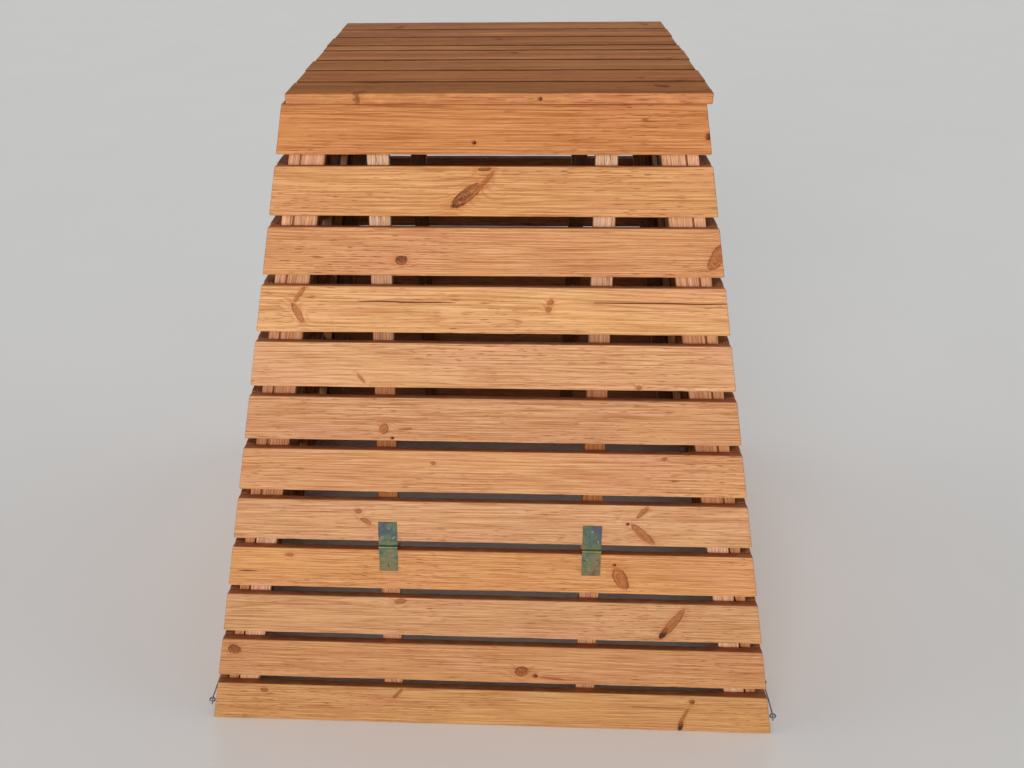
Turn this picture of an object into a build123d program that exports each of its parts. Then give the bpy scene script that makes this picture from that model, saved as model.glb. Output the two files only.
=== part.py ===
from build123d import *
from math import atan, cos, sin, tan
import os

# A slatted timber composter: a truncated square pyramid of four slatted walls, a loose
# boarded lid, and a flap door at the foot of the front wall, hung on two butt hinges and
# held shut by a hook and eye at each end.
# Frame: origin on the ground at the centre of the base, +Z up, the front towards -Y. Sizes in mm.

# ---- driving dimensions ---------------------------------------------------------------------
BASE = 1205.0             # outside width of the square base
TOP = 745.0               # outside width at the top of the walls
WALL_H = 1276.0           # height of the walls, all cut level at the top and on the ground
SLATS = 12                # slats in a wall, row 0 lying on the ground
DOOR_SLATS = 4            # lowest front slats, which swing as the door
SLAT_W = 90.0
SLAT_GAP = 20.0
BOARD_T = 20.0            # slats and lid boards
BATTEN_W = 40.0
CORNER_W = 44.0           # corner battens, which are a little wider
BATTEN_T = 22.0
ARRIS = 3.0               # rounding along every planed edge
MID_X = 206.0             # middle battens, from the wall's centre line
FRONT_PLAY = 1.0          # side walls stop this far short of the front slats
DOOR_PLAY = 1.5           # door end battens, from the side walls' battens
DOOR_CUT = 3.0            # gap between fixed and door battens, just under the lowest fixed slat

LID_W = 746.0             # length of the lid boards, across the bin
LID_SHIFT = 9.0           # the lid lies this far to the right of centre
LID_OVERHANG = 3.0        # lid's front edge, proud of the front wall
LID_WIDTHS = (90.0, 90.0, 90.0, 90.0, 45.0, 90.0, 90.0, 90.0)   # boards, front to rear
LID_STAGGER = (0.0, 1.5, -1.0, 2.0, 0.5, -1.5, 1.0, -0.5)       # uneven ends of the boards
LID_GAP = 9.0
CLEAT_X = 250.0
CLEAT_L = 650.0

SCREW_R = 2.0             # countersunk wood screws, 4 mm
HEAD_R = 4.0
PANEL_SCREW_L = 35.0
CORNER_SCREW_L = 55.0
DRILL_PLAY = 0.2          # clearance hole round a screw, on the radius
FRONT_CORNER_ROWS = (5, 8, 10)    # gaps, counted by the slat below, with a corner screw
REAR_CORNER_ROWS = (1, 5, 10)

HINGE_DROP = 12.0         # hinge pin, below the lowest fixed slat
LEAF_W = 38.0
LEAF_L = 55.5
LEAF_T = 1.6
LEAF_CORNER_R = 1.5
KNUCKLES = 4
KNUCKLE_R = 3.3
KNUCKLE_PLAY = 0.4        # between one leaf's knuckles and the other leaf
PIN_R = 1.7
PIN_PLAY = 0.05           # running clearance of the door's knuckles on the pin
PIN_END = 0.6             # pin, proud of the knuckles at each end
LEAF_HEAD_R = 3.6
LEAF_SCREW_L = 16.0
LEAF_HOLES = ((-11.0, 21.0), (11.0, 21.0), (0.0, 41.5))   # across, away from the pin
SCREW_TURN = 37.0         # degrees between the cross slots of one leaf's screws
RECESS_L, RECESS_W, RECESS_DEEP = 4.4, 0.9, 1.1           # cross slots in the hinge screws

WIRE_R = 1.6              # hook and screw eyes
EYE_R = 5.5               # to the middle of the wire
EYE_OUT = 9.0             # eye's centre, out from the wall
EYE_DEEP = 17.0           # screw eye's shank in the timber
EYE_RISE = 36.0           # catch eye, up the slope from the ground
HOOK_L = 88.0             # hook, from its pivot to its tip
HOOK_PLAY = 0.3           # hook above the catch eye's wire
BEND_R = 3.6
HOOK_TAIL = 13.0          # straight of the tip, below the bend

# ---- worked out -----------------------------------------------------------------------------
LEAN = atan((BASE - TOP) / 2 / WALL_H)
PITCH = SLAT_W + SLAT_GAP
DOOR_RISE = DOOR_SLATS * PITCH          # lowest edge of the fixed front slats
BACK = BOARD_T + BATTEN_T               # battens' inner faces, behind the slats' outer faces
SLOPE_L = SLATS * PITCH
HINGE_RISE = DOOR_RISE - HINGE_DROP
KNUCKLE_W = LEAF_W / KNUCKLES
SHANK_RISE = EYE_RISE + 2 * WIRE_R + HOOK_PLAY
EYE_BACK = -BASE / 2 + EYE_RISE * sin(LEAN) + BOARD_T / 2 / cos(LEAN)   # catch eye's Y
PIVOT_BACK = EYE_BACK + HOOK_L
LID_FRONT = -TOP / 2 - LID_OVERHANG


def wall_plane(turn):
    """Outer face of a wall: x along the ground, y up the slope, z outward. The front is turn 0."""
    foot = Vector(0, -BASE / 2, 0).rotate(Axis.Z, turn)
    along = Vector(1, 0, 0).rotate(Axis.Z, turn)
    outward = Vector(0, -cos(LEAN), sin(LEAN)).rotate(Axis.Z, turn)
    return Plane(origin=foot, x_dir=along, z_dir=outward)


FRONT, RIGHT, REAR, LEFT = (wall_plane(turn) for turn in (0, 90, 180, 270))


def on_wall(wall, across, rise, out=0.0):
    """A plane like the wall's own, with its origin at a point of the wall."""
    spot = wall.from_local_coords(Vector(across, rise, out))
    return Plane(origin=spot, x_dir=wall.x_dir, z_dir=wall.z_dir)


def save(part, name):
    """Label a finished piece and write it."""
    part.label = name
    export_step(part, f"parts/{name}.step")


# ---- timber ---------------------------------------------------------------------------------
def slat(wall, row, ends):
    """One wall slat, rounded along its edges, trimmed by the end planes, the ground and the top."""
    with BuildPart() as board:
        with BuildSketch(wall):
            with Locations((0, row * PITCH + SLAT_W / 2)):
                Rectangle(BASE, SLAT_W)
        extrude(amount=-BOARD_T)
        fillet(board.edges().filter_by(Axis(wall.origin, wall.x_dir)), radius=ARRIS)
        for end in ends:
            split(bisect_by=end, keep=Keep.BOTTOM)
        split(bisect_by=Plane.XY, keep=Keep.TOP)
        split(bisect_by=Plane.XY.offset(WALL_H), keep=Keep.BOTTOM)
    return board.part


def batten(wall, sides, low, high, drills):
    """A batten behind a wall's slats, between two side planes that face away from it.

    drills are the planes at the mouths of its countersunk holes, each with its hole's length.
    """
    with BuildPart() as timber:
        with BuildSketch(wall.offset(-BOARD_T)):
            with Locations((0, (low + high) / 2)):
                Rectangle(BASE, high - low)
        extrude(amount=-BATTEN_T)
        for side in sides:
            split(bisect_by=side, keep=Keep.BOTTOM)
        fillet(timber.edges().filter_by(lambda edge: edge.length > 2 * BATTEN_W), radius=ARRIS)
        split(bisect_by=Plane.XY, keep=Keep.TOP)
        split(bisect_by=Plane.XY.offset(WALL_H), keep=Keep.BOTTOM)
        for mouth, length in drills:
            with Locations(mouth):
                CounterSinkHole(SCREW_R + DRILL_PLAY, HEAD_R, length, 90)
    return timber.part


def middle_sides(wall, across):
    """Side planes of a middle batten, which runs straight up the slope."""
    near, far = (on_wall(wall, across + half, 0).origin for half in (-BATTEN_W / 2, BATTEN_W / 2))
    return Plane(origin=near, z_dir=-wall.x_dir), Plane(origin=far, z_dir=wall.x_dir)


def corner_sides(neighbour, inset):
    """Side planes of a corner batten, which follows the neighbouring wall at an inset."""
    return neighbour.offset(-inset), -neighbour.offset(-inset - CORNER_W)


def screw_mouths(wall, rows, across=None, side=1, inset=0.0):
    """Planes on a batten's inner face, facing inward, one at each slat it carries."""
    mouths = []
    for row in rows:
        rise = row * PITCH + SLAT_W / 2
        height = rise * cos(LEAN) - BACK * sin(LEAN)
        splayed = side * (BASE / 2 - height * tan(LEAN) - (inset + CORNER_W / 2) / cos(LEAN))
        spot = wall.from_local_coords(Vector(splayed if across is None else across, rise, -BACK))
        mouths.append(Plane(origin=spot, x_dir=wall.x_dir, z_dir=-wall.z_dir))
    return mouths


def corner_mouths(wall, neighbour, side, rows):
    """Planes on a corner batten's inner edge, where screws tie it to the next wall's batten."""
    mouths = []
    inset = BACK + CORNER_W
    middle = BOARD_T + BATTEN_T / 2
    for row in rows:
        rise = row * PITCH + SLAT_W + SLAT_GAP / 2
        height = rise * cos(LEAN) - middle * sin(LEAN)
        across = side * (BASE / 2 - height * tan(LEAN) - inset / cos(LEAN))
        spot = wall.from_local_coords(Vector(across, rise, -middle))
        mouths.append(Plane(origin=spot, x_dir=neighbour.x_dir, z_dir=-neighbour.z_dir))
    return mouths


def together(parts):
    """Separate solids of one node."""
    with BuildPart() as group:
        for part in parts:
            add(part)
    return group.part


def mirrored(part):
    """The same piece on the other side of the bin."""
    with BuildPart() as twin:
        mirror(part, about=Plane.YZ)
    return twin.part


# ---- fasteners ------------------------------------------------------------------------------
def wood_screw(head_r, length, recess=False):
    """A countersunk screw, its head flush with the XY plane and its point towards -Z."""
    with BuildPart() as screw:
        with BuildSketch(Plane.XZ):
            with BuildLine():
                Polyline(
                    (0, 0), (head_r, 0), (SCREW_R, SCREW_R - head_r),
                    (SCREW_R, 2 * SCREW_R - length), (0, -length), (0, 0),
                )
            make_face()
        revolve(axis=Axis.Z)
        if recess:
            with BuildSketch():
                Rectangle(RECESS_L, RECESS_W)
                Rectangle(RECESS_W, RECESS_L)
            extrude(amount=-RECESS_DEEP, mode=Mode.SUBTRACT)
    return screw.part


def screws_at(screw, mouths):
    """One screw in each mouth, as separate solids of one node."""
    with BuildPart() as group:
        with Locations(*mouths):
            add(screw)
    return group.part


os.makedirs("parts", exist_ok=True)
panel_screw = wood_screw(HEAD_R, PANEL_SCREW_L)
corner_screw = wood_screw(HEAD_R, CORNER_SCREW_L)
all_rows = range(SLATS)
door_rows = range(DOOR_SLATS)
fixed_rows = range(DOOR_SLATS, SLATS)
panel_mouths, tie_mouths, door_mouths = [], [], []

# ---- front wall above the door --------------------------------------------------------------
for number, row in enumerate(reversed(fixed_rows), 1):
    save(slat(FRONT, row, (LEFT, RIGHT)), f"front_slat_{number}")

for name, side, neighbour in (("left", -1, LEFT), ("right", 1, RIGHT)):
    corner = screw_mouths(FRONT, fixed_rows, side=side, inset=BACK)
    ties = corner_mouths(FRONT, neighbour, side, FRONT_CORNER_ROWS)
    middle = screw_mouths(FRONT, fixed_rows, across=side * MID_X)
    drills = [(mouth, BATTEN_T) for mouth in corner] + [(mouth, CORNER_W) for mouth in ties]
    save(
        batten(FRONT, corner_sides(neighbour, BACK), DOOR_RISE, SLOPE_L, drills),
        f"front_corner_batten_{name}",
    )
    save(
        batten(FRONT, middle_sides(FRONT, side * MID_X), DOOR_RISE, SLOPE_L,
               [(mouth, BATTEN_T) for mouth in middle]),
        f"front_middle_batten_{name}",
    )
    panel_mouths += corner + middle
    tie_mouths += ties

# ---- door -----------------------------------------------------------------------------------
door_high = DOOR_RISE - DOOR_CUT
for number, row in enumerate(reversed(door_rows), 1):
    save(slat(FRONT, row, (LEFT, RIGHT)), f"door_slat_{number}")

for name, side, neighbour in (("left", -1, LEFT), ("right", 1, RIGHT)):
    outer, inner = corner_sides(neighbour, BACK)
    end = screw_mouths(FRONT, door_rows, side=side, inset=BACK)
    middle = screw_mouths(FRONT, door_rows, across=side * MID_X)
    save(
        batten(FRONT, (outer.offset(-DOOR_PLAY), inner), -BATTEN_W, door_high,
               [(mouth, BATTEN_T) for mouth in end]),
        f"door_end_batten_{name}",
    )
    save(
        batten(FRONT, middle_sides(FRONT, side * MID_X), -BATTEN_W, door_high,
               [(mouth, BATTEN_T) for mouth in middle]),
        f"door_middle_batten_{name}",
    )
    door_mouths += end + middle
save(screws_at(panel_screw, door_mouths), "door_screws")

# ---- rear wall ------------------------------------------------------------------------------
save(together(slat(REAR, row, (LEFT, RIGHT)) for row in all_rows), "rear_wall_slats")
rear_corners, rear_middles = [], []
for side, neighbour in ((-1, RIGHT), (1, LEFT)):
    corner = screw_mouths(REAR, all_rows, side=side, inset=BACK)
    ties = corner_mouths(REAR, neighbour, side, REAR_CORNER_ROWS)
    middle = screw_mouths(REAR, all_rows, across=side * MID_X)
    drills = [(mouth, BATTEN_T) for mouth in corner] + [(mouth, CORNER_W) for mouth in ties]
    rear_corners.append(batten(REAR, corner_sides(neighbour, BACK), -BATTEN_W, SLOPE_L, drills))
    rear_middles.append(
        batten(REAR, middle_sides(REAR, side * MID_X), -BATTEN_W, SLOPE_L,
               [(mouth, BATTEN_T) for mouth in middle])
    )
    panel_mouths += corner + middle
    tie_mouths += ties
save(together(rear_corners), "rear_corner_battens")
save(together(rear_middles), "rear_middle_battens")

# ---- side walls, the left a mirror image of the right ----------------------------------------
side_front = FRONT.offset(-BOARD_T - FRONT_PLAY)
side_rear = REAR.offset(-BOARD_T)
side_slats = together(slat(RIGHT, row, (side_front, side_rear)) for row in all_rows)
save(side_slats, "right_wall_slats")
save(mirrored(side_slats), "left_wall_slats")

side_mouths = []
side_corners, side_middles = [], []
for side, neighbour, inset in ((-1, FRONT, BOARD_T + FRONT_PLAY), (1, REAR, BOARD_T)):
    corner = screw_mouths(RIGHT, all_rows, side=side, inset=inset)
    middle = screw_mouths(RIGHT, all_rows, across=side * MID_X)
    side_corners.append(
        batten(RIGHT, corner_sides(neighbour, inset), -BATTEN_W, SLOPE_L,
               [(mouth, BATTEN_T) for mouth in corner])
    )
    side_middles.append(
        batten(RIGHT, middle_sides(RIGHT, side * MID_X), -BATTEN_W, SLOPE_L,
               [(mouth, BATTEN_T) for mouth in middle])
    )
    side_mouths += corner + middle
for kind, pair in (("corner", side_corners), ("middle", side_middles)):
    battens = together(pair)
    save(battens, f"right_{kind}_battens")
    save(mirrored(battens), f"left_{kind}_battens")

side_screws = screws_at(panel_screw, side_mouths)
save(
    together((screws_at(panel_screw, panel_mouths), side_screws, mirrored(side_screws))),
    "panel_screws",
)
save(screws_at(corner_screw, tie_mouths), "corner_screws")

# ---- lid ------------------------------------------------------------------------------------
lid_mouths = []
board_front = LID_FRONT
for number, (width, stagger) in enumerate(zip(LID_WIDTHS, LID_STAGGER), 1):
    centre = board_front + width / 2
    with BuildPart() as lid_board:
        with BuildSketch(Plane.XY.offset(WALL_H)):
            with Locations((LID_SHIFT + stagger, centre)):
                Rectangle(LID_W, width)
        extrude(amount=BOARD_T)
        fillet(lid_board.edges().filter_by(Axis.X), radius=ARRIS)
    save(lid_board.part, f"lid_board_{number}")
    reach = CLEAT_L / 2 - BATTEN_T
    grip = min(max(centre, -reach), reach)
    for side in (-1, 1):
        spot = (side * CLEAT_X, grip, WALL_H - BATTEN_T)
        lid_mouths.append(Plane(origin=spot, z_dir=(0, 0, -1)))
    board_front += width + LID_GAP

for name, side in (("left", -1), ("right", 1)):
    with BuildPart() as cleat:
        with BuildSketch(Plane.XY.offset(WALL_H - BATTEN_T)):
            with Locations((side * CLEAT_X, 0)):
                Rectangle(BATTEN_W, CLEAT_L)
        extrude(amount=BATTEN_T)
        fillet(cleat.edges().filter_by(Axis.Y), radius=ARRIS)
        for mouth in lid_mouths:
            if mouth.origin.X * side > 0:
                with Locations(mouth):
                    CounterSinkHole(SCREW_R + DRILL_PLAY, HEAD_R, BATTEN_T, 90)
    save(cleat.part, f"lid_cleat_{name}")
save(screws_at(panel_screw, lid_mouths), "lid_screws")


# ---- hinges ---------------------------------------------------------------------------------
def knuckle_plane(place, index):
    """Plane across the pin where a knuckle begins: x up the slope, y outward."""
    start = on_wall(place, -LEAF_W / 2 + index * KNUCKLE_W, 0, KNUCKLE_R).origin
    return Plane(origin=start, x_dir=place.y_dir, z_dir=place.x_dir)


def leaf_mouths(place, up):
    """Planes at a leaf's screw holes, facing outward, each turned a little differently."""
    mouths = []
    for turn, (across, away) in enumerate(LEAF_HOLES):
        spot = place.from_local_coords(Vector(across, up * away, LEAF_T))
        slot_dir = place.x_dir.rotate(Axis((0, 0, 0), place.z_dir), turn * SCREW_TURN)
        mouths.append(Plane(origin=spot, x_dir=slot_dir, z_dir=place.z_dir))
    return mouths


def hinge_leaf(place, up, bore_r):
    """A leaf on one side of the pin: up is 1 or -1. Knuckles alternate between the leaves."""
    own = [index for index in range(KNUCKLES) if (index % 2 == 0) == (up > 0)]
    other = [index for index in range(KNUCKLES) if index not in own]
    with BuildPart() as leaf:
        with BuildSketch(place) as outline:
            with Locations((0, up * LEAF_L / 2)):
                Rectangle(LEAF_W, LEAF_L)
            fillet(outline.vertices().group_by(Axis(place.origin, up * place.y_dir))[-1],
                   radius=LEAF_CORNER_R)
        extrude(amount=LEAF_T)
        for index in own:
            with BuildSketch(knuckle_plane(place, index)):
                Circle(KNUCKLE_R)
                Circle(bore_r, mode=Mode.SUBTRACT)
            extrude(amount=KNUCKLE_W)
        for index in other:
            with BuildSketch(knuckle_plane(place, index)):
                Circle(KNUCKLE_R + KNUCKLE_PLAY)
            extrude(amount=KNUCKLE_W, mode=Mode.SUBTRACT)
        with Locations(*leaf_mouths(place, up)):
            CounterSinkHole(SCREW_R, LEAF_HEAD_R, LEAF_T, 90)
    return leaf.part


leaf_screw = wood_screw(LEAF_HEAD_R, LEAF_SCREW_L, recess=True)
upper_mouths, lower_mouths = [], []
for name, side in (("left", -1), ("right", 1)):
    hinge = on_wall(FRONT, side * MID_X, HINGE_RISE)
    save(hinge_leaf(hinge, 1, PIN_R), f"hinge_upper_leaf_{name}")
    save(hinge_leaf(hinge, -1, PIN_R + PIN_PLAY), f"hinge_lower_leaf_{name}")
    with BuildPart() as hinge_pin:
        with BuildSketch(knuckle_plane(hinge, 0).offset(-PIN_END)):
            Circle(PIN_R)
        extrude(amount=LEAF_W + 2 * PIN_END)
    save(hinge_pin.part, f"hinge_pin_{name}")
    upper_mouths += leaf_mouths(hinge, 1)
    lower_mouths += leaf_mouths(hinge, -1)
save(screws_at(leaf_screw, upper_mouths), "hinge_upper_screws")
save(screws_at(leaf_screw, lower_mouths), "hinge_lower_screws")


# ---- hooks and eyes, the left ones mirror images of the right ----------------------------------
def screw_eye(across, rise):
    """A screw eye in the right wall's face: a ring lying level on a shank driven into the timber."""
    with BuildPart() as eye:
        with Locations(Plane(origin=on_wall(RIGHT, across, rise, EYE_OUT).origin, z_dir=RIGHT.y_dir)):
            Torus(EYE_R, WIRE_R)
        with BuildSketch(on_wall(RIGHT, across, rise, -EYE_DEEP)):
            Circle(WIRE_R)
        extrude(amount=EYE_DEEP + EYE_OUT - EYE_R)
    return eye.part


catch_eye = screw_eye(EYE_BACK, EYE_RISE)
hook_eye = screw_eye(PIVOT_BACK + EYE_R, SHANK_RISE)

with BuildPart() as hook:
    hook_plane = on_wall(RIGHT, PIVOT_BACK, SHANK_RISE, EYE_OUT)
    with Locations(hook_plane):
        Torus(EYE_R, WIRE_R)
    with BuildLine(hook_plane) as wire:
        FilletPolyline(
            (-EYE_R, 0), (-HOOK_L, 0), (-HOOK_L, -BEND_R - HOOK_TAIL), radius=BEND_R
        )
    with BuildSketch(Plane(origin=wire.line @ 0, z_dir=wire.line % 0)):
        Circle(WIRE_R)
    sweep()

for kind, piece in (("catch_eye", catch_eye), ("hook_eye", hook_eye), ("hook", hook.part)):
    save(piece, f"{kind}_right")
    save(mirrored(piece), f"{kind}_left")

print("hinge axis", on_wall(FRONT, 0, HINGE_RISE, KNUCKLE_R).origin)
print("hook axis, right", hook_plane.origin, "along", RIGHT.z_dir)
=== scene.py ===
"""Slatted timber compost bin: planed pine boards with grain, knots, splits and worn arrises,
zinc-plated hinges and galvanised wire hooks, on a pale floor in soft light.

Lengths are in metres, in the CAD row's frame: +X to the right of the front, +Y to the back, +Z up.
"""
import math

import bpy
import numpy as np
from mathutils import Matrix, Vector


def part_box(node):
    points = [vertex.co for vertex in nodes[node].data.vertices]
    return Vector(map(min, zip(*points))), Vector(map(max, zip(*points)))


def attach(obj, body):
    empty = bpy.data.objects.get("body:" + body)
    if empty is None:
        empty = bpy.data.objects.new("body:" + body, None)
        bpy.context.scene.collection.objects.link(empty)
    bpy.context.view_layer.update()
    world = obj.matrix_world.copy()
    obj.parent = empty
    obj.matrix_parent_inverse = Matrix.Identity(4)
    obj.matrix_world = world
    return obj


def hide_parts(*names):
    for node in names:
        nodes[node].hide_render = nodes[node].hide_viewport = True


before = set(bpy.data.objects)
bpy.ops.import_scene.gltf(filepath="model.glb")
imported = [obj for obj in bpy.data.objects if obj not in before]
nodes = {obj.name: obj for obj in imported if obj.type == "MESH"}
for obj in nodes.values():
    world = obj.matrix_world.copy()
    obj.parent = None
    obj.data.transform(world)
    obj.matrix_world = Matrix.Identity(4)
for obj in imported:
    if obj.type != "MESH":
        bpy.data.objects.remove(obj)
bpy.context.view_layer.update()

MM = 0.001
UP = Vector((0, 0, 1))

# ---- sizes read from the frame ---------------------------------------------------------------
FIXED_SLATS = [name for name in sorted(nodes) if name.startswith("front_slat_")]
DOOR_SLATS = [name for name in sorted(nodes) if name.startswith("door_slat_")]
FRONT_SLATS = FIXED_SLATS + DOOR_SLATS            # from the top down
LID_BOARDS = [name for name in sorted(nodes) if name.startswith("lid_board_")]
TOP_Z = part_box(FRONT_SLATS[0])[1].z
BOARD_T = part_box(LID_BOARDS[0])[1].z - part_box(LID_BOARDS[0])[0].z


def largest_face(node, towards):
    """Normal and offset of the largest flat face of a node that looks towards a direction."""
    faces = [face for face in nodes[node].data.polygons if face.normal.dot(towards) > 0.9]
    face = max(faces, key=lambda each: each.area)
    return face.normal.copy(), face.normal.dot(face.center)


class Place:
    """Board coordinates of one wall or of the lid: along its boards, up across them, and out."""

    def __init__(self, origin, along, up, out):
        self.origin, self.along, self.up, self.out = origin, along, up, out


def wall_place(node, towards):
    """The place of a leaning wall: its origin is where its outer face meets the ground."""
    out, offset = largest_face(node, towards)
    along = UP.cross(out).normalized()
    flat = along.cross(UP)
    return Place(flat * (offset / out.dot(flat)), along, out.cross(along), out)


FRONT = wall_place("front_slat_6", Vector((0, -1, 0)))
REAR = wall_place("rear_wall_slats", Vector((0, 1, 0)))
LEFT = wall_place("left_wall_slats", Vector((-1, 0, 0)))
RIGHT = wall_place("right_wall_slats", Vector((1, 0, 0)))
LID = Place(Vector((0, 0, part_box(LID_BOARDS[0])[1].z)), Vector((1, 0, 0)), Vector((0, 1, 0)), UP)

HINGE_Z = sum(corner.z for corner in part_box("hinge_upper_leaf_left")) / 2 - 20 * MM    # by the pin
ROWS = len(FRONT_SLATS)
second, third = (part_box(name)[0].z for name in FRONT_SLATS[1:3])
PITCH = (second - third) / FRONT.up.z             # from slat to slat, along the slope
BOARD_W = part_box(LID_BOARDS[0])[1].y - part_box(LID_BOARDS[0])[0].y
MIDDLE_LOW, MIDDLE_HIGH = (corner.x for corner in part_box("front_middle_batten_right"))
MIDDLE_W, MIDDLE_AT = MIDDLE_HIGH - MIDDLE_LOW, (MIDDLE_LOW + MIDDLE_HIGH) / 2
CORNER_W = 44 * MM
CORNER_AT = RIGHT.origin.x - 65 * MM              # corner battens, where they meet the ground

# ---- board meshes ----------------------------------------------------------------------------
ARRIS = 3.0 * MM                                  # rounding of the long edges
STATION = 14 * MM                                 # from ring to ring, along a board
ARC_STEPS, EDGE_STEPS, FACE_STEPS = 4, 3, 9       # points round an arris, and on each flat
# How far a board's outline draws in near its ends: distance from the end, and the inset there.
END_INSETS = ((0.0, 1.8 * MM), (0.5 * MM, 0.8 * MM), (1.5 * MM, 0.25 * MM), (3.0 * MM, 0.0))


def wander(rng, where, spacing, size):
    """A smooth random curve along a board: one value for each place, within about +-size."""
    steps = np.arange(where.min() - 2 * spacing, where.max() + 3 * spacing, spacing)
    values = rng.uniform(-1, 1, len(steps))
    fine = np.interp(where, steps, values)
    shifted = np.interp(where + spacing / 2, steps, values)
    return size * (fine + shifted) / 2


def arris_radius(rng, where):
    """The rounding of one long edge: worn unevenly, with a few knocks in it."""
    radius = ARRIS * (1 + wander(rng, where, 0.09, 0.35) + wander(rng, where, 0.03, 0.2))
    for _ in range(rng.integers(1, 4)):
        centre = rng.uniform(where.min(), where.max())
        width = rng.uniform(6, 16) * MM
        radius += rng.uniform(0.8, 2.2) * MM * np.exp(-(((where - centre) / width) ** 2))
    return np.clip(radius, 1.6 * MM, 6.5 * MM)


def board_mesh(name, place, low, high, ends, seed, splits=(), level=None):
    """A planed board as a mesh: worn arrises, a slight bow, soft ends and drying splits.

    low and high are its edges across the board. ends gives, for each end, the plane that it is
    cut by, as a normal and an offset. splits are (start, end, across, width, depth), in order
    along the board. level holds the heights of the ground and the top, which trim a wall's
    lowest and highest boards.
    """
    rng = np.random.default_rng(seed)
    thick, middle, half = BOARD_T, (low + high) / 2, (high - low) / 2
    reach = []
    for normal, offset in ends:
        at_origin = offset - normal.dot(place.origin)
        reach.append((at_origin, normal.dot(place.up), normal.dot(place.out), normal.dot(place.along)))
    ends_at = [(r[0] - r[1] * middle) / r[3] for r in reach]
    length = abs(ends_at[1] - ends_at[0])
    count = max(int(length / STATION), 8)
    inner = np.linspace(END_INSETS[-1][0], length - END_INSETS[-1][0], count)
    from_end = [inset[0] for inset in END_INSETS[:-1]]
    runs = np.concatenate([from_end, inner, [length - each for each in reversed(from_end)]])
    shrink = np.interp(np.minimum(runs, length - runs), *zip(*END_INSETS))
    share = runs / length
    where = min(ends_at) + runs

    corners = [arris_radius(rng, where) for _ in range(4)]
    if low == 0:
        corners[0] = np.maximum(corners[0], 1.1 * ARRIS)
    turn = np.linspace(0, math.pi / 2, ARC_STEPS + 1)
    across, depth = [], []

    def add(v, d):
        across.append(v * np.ones_like(where))
        depth.append(d * np.ones_like(where))

    def run_between(v0, d0, v1, d1, steps):
        for step in range(1, steps + 1):
            t = step / (steps + 1)
            add(v0 + (v1 - v0) * t, d0 + (d1 - d0) * t)

    bottom_out, top_out, top_in, bottom_in = corners
    for angle in turn:
        add(low + bottom_out * (1 - math.cos(angle)), -bottom_out * (1 - math.sin(angle)))
    first_face = len(across)
    run_between(low + bottom_out, 0, high - top_out, 0, FACE_STEPS)
    for angle in turn:
        add(high - top_out * (1 - math.sin(angle)), -top_out * (1 - math.cos(angle)))
    run_between(high, -top_out, high, -thick + top_in, EDGE_STEPS)
    for angle in turn:
        add(high - top_in * (1 - math.cos(angle)), -thick + top_in * (1 - math.sin(angle)))
    run_between(high - top_in, -thick, low + bottom_in, -thick, FACE_STEPS)
    for angle in turn:
        add(low + bottom_in * (1 - math.sin(angle)), -thick + bottom_in * (1 - math.cos(angle)))
    run_between(low, -thick + bottom_in, low, -bottom_out, EDGE_STEPS)
    across, depth = np.array(across), np.array(depth)

    # a shallow hollow and ripple of the outer face, always inwards
    hollow = 0.25 * MM + wander(rng, where, 0.3, 0.2 * MM)
    profile = np.clip(1 - ((across - middle) / half) ** 2, 0, 1)
    outer = depth > -thick / 2
    depth -= np.where(outer, hollow * profile, 0)
    across += wander(rng, where, 0.35, 0.35 * MM)
    across = np.clip(across, low, high)

    dark = np.zeros(across.shape, bool)
    if splits:
        middles = [(start + finish) / 2 for start, finish, *_ in splits]
        line = np.interp(where, middles, [each[2] for each in splits])
        line += wander(rng, where, 0.06, 1.6 * MM)
        width, deep = splits[0][3:]
        open_share = np.zeros_like(where)
        for start, finish, *_ in splits:
            part = (2 * where - start - finish) / (finish - start)
            open_share += np.sqrt(np.clip(1 - part**2, 0, 1))
        for offset, lowered in ((-2, 0), (-1, 0.15), (0, 1), (1, 0.15), (2, 0)):
            row = first_face + FACE_STEPS // 2 + offset
            across[row] = line + offset / 2 * width * (0.25 + 0.75 * open_share)
            depth[row] -= lowered * deep * open_share
        for offset in (-1, 0):
            dark[first_face + FACE_STEPS // 2 + offset] = open_share > 0.2
        spread_points(across, first_face, FACE_STEPS)

    across = middle + (across - middle) * (1 - shrink / half)
    depth = -thick / 2 + (depth + thick / 2) * (1 - shrink / (thick / 2))
    if level:
        ground, top = level
        lean = place.out.z / place.up.z
        across = np.clip(across, ground / place.up.z - depth * lean, top / place.up.z - depth * lean)
    edges = [(r[0] - r[1] * across - r[2] * depth) / r[3] for r in reach]
    if edges[0].mean() > edges[1].mean():
        edges.reverse()
    along = edges[0] + (edges[1] - edges[0]) * share

    axes = np.array([place.along, place.up, place.out])
    local = np.stack([along, across, depth], -1).transpose(1, 0, 2)
    points = local @ axes + np.array(place.origin)
    return loft_mesh(name, points, dark.T)


def spread_points(across, first, steps):
    """Spaces a face's points evenly on each side of the five that a split takes."""
    split_low, split_high = first + steps // 2 - 2, first + steps // 2 + 2
    for start, stop in ((first - 1, split_low), (split_high, first + steps)):
        for row in range(start + 1, stop):
            share = (row - start) / (stop - start)
            across[row] = across[start] + (across[stop] - across[start]) * share


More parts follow.
